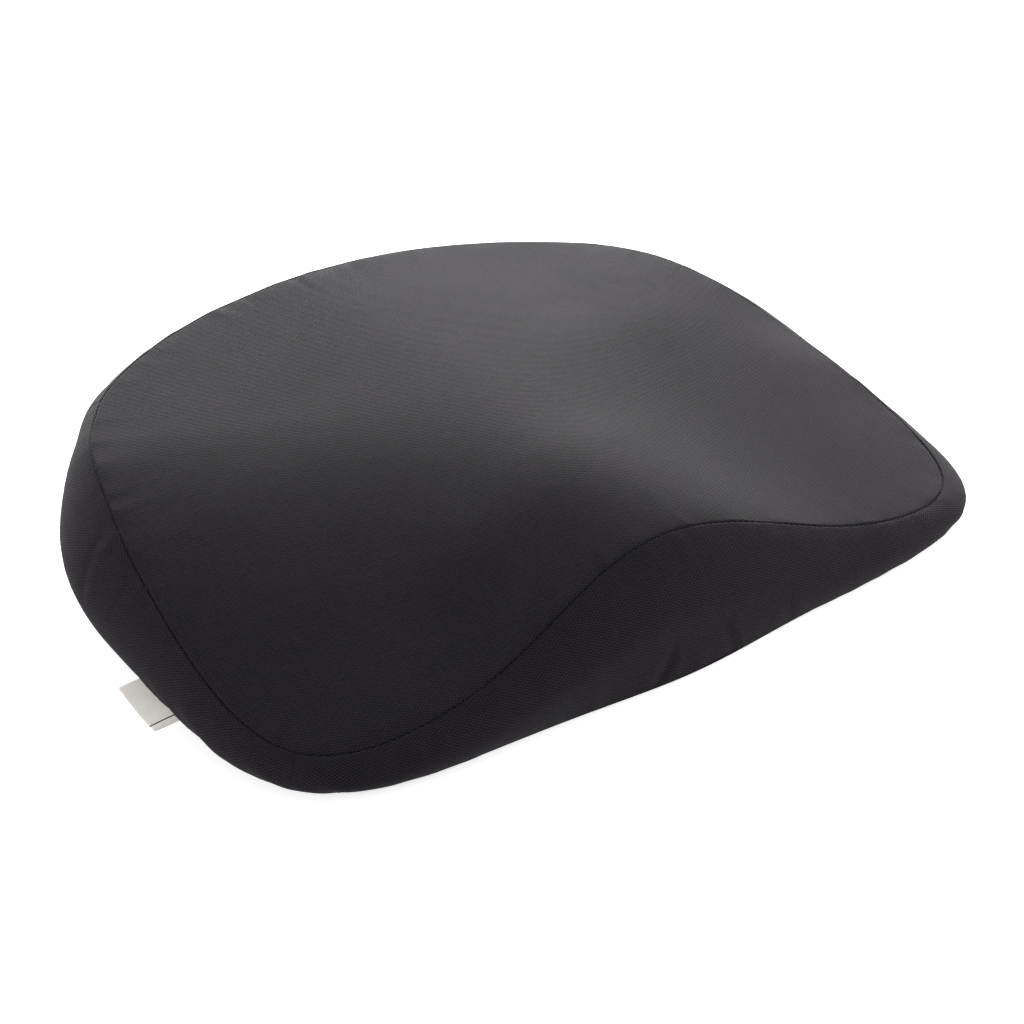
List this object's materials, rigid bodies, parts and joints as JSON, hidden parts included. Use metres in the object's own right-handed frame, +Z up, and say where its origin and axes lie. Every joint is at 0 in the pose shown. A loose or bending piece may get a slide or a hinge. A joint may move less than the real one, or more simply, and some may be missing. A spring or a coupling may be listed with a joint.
{
  "type": "seat cushion",
  "caption": "Wedge-shaped seat cushion, high at the back with a raised middle at the front, foam core in a dark woven zip-off cover.",
  "frame": {"origin": "on the resting face, in the middle of the cushion's box", "axes": "+X across the seat, +Y from the raised front edge to the zipped back wall, +Z up"},
  "size_m": [0.4449, 0.3486, 0.075],
  "materials": {
    "cover_fabric": "matte",
    "base_fabric": "matte",
    "foam": "matte",
    "thread": "matte",
    "label": "matte",
    "zip_tape": "matte",
    "zip_coil": "satin",
    "zip_metal": "satin"
  },
  "bodies": {
    "cushion": {"foam_core": "foam", "top_panel": "cover_fabric", "side_boxing": "cover_fabric", "rear_boxing_upper": "cover_fabric", "rear_boxing_lower": "cover_fabric", "bottom_panel": "base_fabric", "top_seam_thread": "thread", "bottom_seam_thread": "thread", "woven_label": "label", "care_label": "label", "zip_tape_upper": "zip_tape", "zip_coil_upper": "zip_coil", "zip_top_stop_upper": "zip_metal", "zip_tape_lower": "zip_tape", "zip_coil_lower": "zip_coil", "zip_top_stop_lower": "zip_metal", "zip_bottom_stop": "zip_metal"},
    "slider": {"zip_slider": "zip_metal"},
    "pull": {"zip_pull": "zip_metal"}
  },
  "joints": [
    {"name": "zip_travel", "type": "hinge", "parent": "cushion", "child": "slider", "pos_m": [0, -0.08641, 0.038], "axis": [0, 0, 1], "range_deg": [0, 62.5]},
    {"name": "pull_flip", "type": "hinge", "parent": "slider", "child": "pull", "pos_m": [0.13719, 0.13915, 0.038], "axis": [0, 0, -1], "range_deg": [0, 175]}
  ]
}
